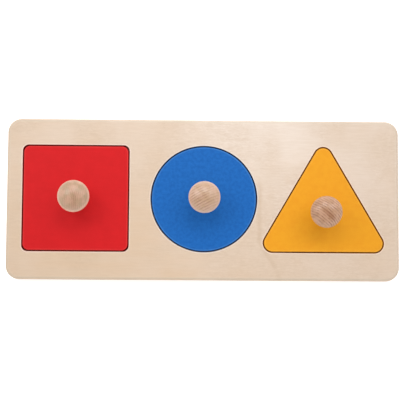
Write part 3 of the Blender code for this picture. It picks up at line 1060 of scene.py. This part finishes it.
TOP_VENEERS = 7
BASE_VENEERS = 3
top_veneer = (board_high.z - seat) / TOP_VENEERS
top_sheet.data.materials.append(birch_material(
    "birch_top_sheet", seat, top_veneer, (0.0, 0.0, 0.0), 0.35))
base_sheet.data.materials.append(birch_material(
    "birch_base_sheet", 0.0, seat / BASE_VENEERS, (0.71, 0.32, 0.0), 0.0))
print("veneer in mm:", round(1000 * top_veneer, 2))

# %% [markdown]
# ## Satin paint
#
# The shapes carry a satin water-based paint. It is even from a distance, but up close the wood still
# shows through it a little: faint streaks where the grain drinks more, a soft mottle from the brush
# or the pad, and a paler line just inside each edge where the coat is thin, which is also a painted
# highlight. The sides are painted too, over the same stack of veneers: sawn wood drinks more paint,
# so they dry darker than the face. That darker tone on the sides, and a little of it on the rounding
# above them, is also painted shade along the gap round each shape.

# %% Satin paint
# Material name; paint, its deeper tone, its thin tone (partly a painted highlight) and its soaked tone
# (partly painted shade); size and share of the mottle; share worn
PAINTS = {
    "square": ("satin_red", (212, 30, 34), (194, 20, 25), (236, 84, 78), (132, 12, 10),
               0.008, 0.26, 0.36),
    "circle": ("satin_blue", (31, 106, 186), (20, 89, 167), (88, 148, 210), (12, 48, 104),
               0.0024, 0.60, 0.50),
    "triangle": ("satin_yellow", (237, 163, 36), (227, 143, 24), (250, 188, 78), (150, 84, 4),
                 0.005, 0.28, 0.42),
}


def paint_material(name, paint, deep, thin_and_highlight, soaked_and_shade, mottle_size, mottle, worn):
    """A satin paint: its own colour, a deeper one for the mottle, a pale one for the edge line, which is
    partly a painted highlight, and a dark one for the sides, which is partly painted shade.
    """
    material, surface, place = new_material(name, 0.03, 0.28)
    surface.inputs["Specular IOR Level"].default_value = 0.13
    layers, edge_wear_and_light = plate_effects(place, seat, top_veneer)
    grain = use_group(grain_group, {
        "Vector": place, "Stretch": (1.0, 8.0, 8.0), "Fineness": 70.0, "Wander": 0.3})
    cloud = noise(place, 1.0 / mottle_size, 5.0, 0.6)
    mottled = times(between(cloud, 0.35, 0.68), mottle)
    streaked = sums("MULTIPLY_ADD", grain["Streaks"], 0.10, mottled)
    # The sides and the rounding above them are painted darker: soaked paint, and partly painted shade along
    # the gap.
    soak_and_shade_share = sums("MULTIPLY_ADD", edge_wear_and_light["Rounding"], 0.30, times(edge_wear_and_light["Wall"], 0.85))
    tint = layered(colour(*paint), (
        (streaked, colour(*deep)),
        (times(layers["Glue Line"], 0.25), colour(*deep)),
        # The thin-paint line just inside each edge is painted paler, and is partly a painted highlight.
        (times(edge_wear_and_light["Sanded Line And Highlight"], worn), colour(*thin_and_highlight)),
        (sums("MINIMUM", soak_and_shade_share, 0.90), colour(*soaked_and_shade))))
    peel = noise(place, 900.0)
    relief = sums("MULTIPLY_ADD", peel, 0.5, times(grain["Streaks"], 0.6))
    relief = sums("MULTIPLY_ADD", layers["Glue Line"], -1.5, relief)
    finish_surface(surface, tint, between(cloud, 0.3, 0.7, 0.38, 0.47), relief, 0.00002)
    return material


for kind, paint in PAINTS.items():
    shapes[kind].data.materials.append(paint_material(*paint))
print("paints:", [paint[0] for paint in PAINTS.values()])

# %% [markdown]
# ## Turned beech
#
# Beech is pinkish brown with a fine, even texture. The knobs are turned with the grain upright, so
# their domes show end grain: rings as gentle arcs, crossed by short pale rays, while the waist shows
# the same rings as upright lines with small dark flecks. Both come from one solid pattern, circles
# round a pith outside the block, so the lines run over the dome and down the side as they do in real
# wood. The rings are darkest near the heart. A band where the head is widest is painted paler: a
# painted highlight. Each knob comes from another part of the tree, with its own direction and
# strength. A satin lacquer covers them all.

# %% Turned beech
BEECH_BROWN = colour(132, 84, 52)
BEECH_HEART = colour(142, 84, 44)
BEECH_PALE = colour(208, 178, 150)
BEECH_BRIM_HIGHLIGHT = colour(246, 214, 190)
# Two wood tones and the share of the painted highlight where the head is widest; bearing and
# distance of the pith, and place of the heart, both from the knob's axis; ring width; share of the
# lines near and far from the heart, and of the streak
BEECHES = {
    "square": ((178, 147, 113), (203, 160, 133), 0.70,
               (-8.0, 0.060), (0.0010, -0.0045), 0.0014, 0.44, 0.10, 0.20),
    "circle": ((193, 158, 125), (205, 168, 144), 0.60,
               (-63.0, 0.090), (-0.0045, -0.0020), 0.0019, 0.60, 0.17, 0.15),
    "triangle": ((183, 137, 100), (203, 157, 126), 0.15,
                 (-127.0, 0.052), (0.0016, -0.0026), 0.0018, 1.00, 0.72, 0.45),
}


def beech_material(node, wood, rose, brim_highlight, pith_from_axis, heart_from_axis, ring_width, lines, faded, streak):
    """Beech in two tones, with rings round a pith and a painted highlight where the head is widest."""
    material, surface, place = new_material("beech_" + node, 0.70, 0.22)
    axis = turning_axis(node).to_3d()
    bearing, distance = pith_from_axis
    pith = axis + distance * Vector((math.cos(math.radians(bearing)), math.sin(math.radians(bearing)), 0.0))
    heart = axis + Vector(heart_from_axis).to_3d()
    rings = use_group(rings_group, {
        "Vector": place, "Pith": pith, "Ring Width": ring_width, "Wander": 0.0019,
        "Dark Ring": (heart - pith).length})
    flecks = use_group(pores_group, {
        "Vector": place, "Stretch": (1500.0, 1500.0, 380.0), "Share": 0.35})
    fibres = use_group(grain_group, {
        "Vector": place, "Stretch": (10.0, 10.0, 1.0), "Fineness": 240.0, "Wander": 0.2})
    clouds = noise(place, 190.0, 3.0)
    off_heart = vectors("DISTANCE", vectors("MULTIPLY", place, (1.0, 1.0, 0.0)), heart)
    line_share = between(off_heart, 0.0150, 0.0030, faded, lines)
    streak_share = between(off_heart, 0.0100, 0.0020, 0.0, streak)
    height = add_node("SeparateXYZ", {0: place}).outputs[2]
    # A band where the head is widest is painted paler: a painted highlight.
    above = between(height, widest_level + 0.0044, widest_level + 0.0016, 0.0, brim_highlight)
    below = between(height, widest_level - 0.0030, widest_level - 0.0002)
    tint = layered(colour(*wood), (
        (between(clouds, 0.36, 0.64), colour(*rose)),
        (times(rings["Bands"], 0.20), colour(*rose)),
        (times(rings["Lines"], line_share), BEECH_BROWN),
        (times(rings["Streak"], streak_share), BEECH_HEART),
        (times(rings["Rays"], 0.22), BEECH_PALE),
        (times(fibres["Streaks"], 0.20), BEECH_BROWN),
        (times(flecks["Pores"], 0.35), BEECH_BROWN),
        (times(above, below), BEECH_BRIM_HIGHLIGHT)))
    relief = sums("MULTIPLY_ADD", flecks["Pores"], -0.8, fibres["Streaks"])
    finish_surface(surface, tint, between(clouds, 0.3, 0.7, 0.42, 0.54), relief, 0.00002)
    return material


for kind, beech in BEECHES.items():
    knobs[kind].data.materials.append(beech_material(kind + "_knob", *beech))
print("beech materials:", [m.name for m in bpy.data.materials if m.name.startswith("beech")])

# %% [markdown]
# ## Zinc-plated steel
#
# The screws are plated with zinc: a bright metal with a faint bluish cloud and fine scratches. A
# metal takes its colour from what it reflects, so the recipe is mostly a high Metallic value and a
# roughness that varies.

# %% Zinc plating
ZINC = colour(198, 200, 204)
ZINC_DULL = colour(150, 153, 160)


def zinc_material():
    """Zinc plating."""
    material, surface, place = new_material("zinc_plating", 0.0, 0.1)
    surface.inputs["Metallic"].default_value = 1.0
    cloud = noise(place, 700.0, 4.0, 0.6)
    scratches = use_group(grain_group, {
        "Vector": place, "Stretch": (1.0, 6.0, 6.0), "Fineness": 700.0, "Wander": 0.8})
    tint = blend_colours(between(cloud, 0.35, 0.70), ZINC, ZINC_DULL)
    rough = between(cloud, 0.3, 0.7, 0.24, 0.42)
    finish_surface(surface, tint, rough, scratches["Streaks"], 0.000004)
    return material


zinc = zinc_material()
for screw in screws.values():
    screw.data.materials.clear()
    screw.data.materials.append(zinc)
print("screws plated with", zinc.name)
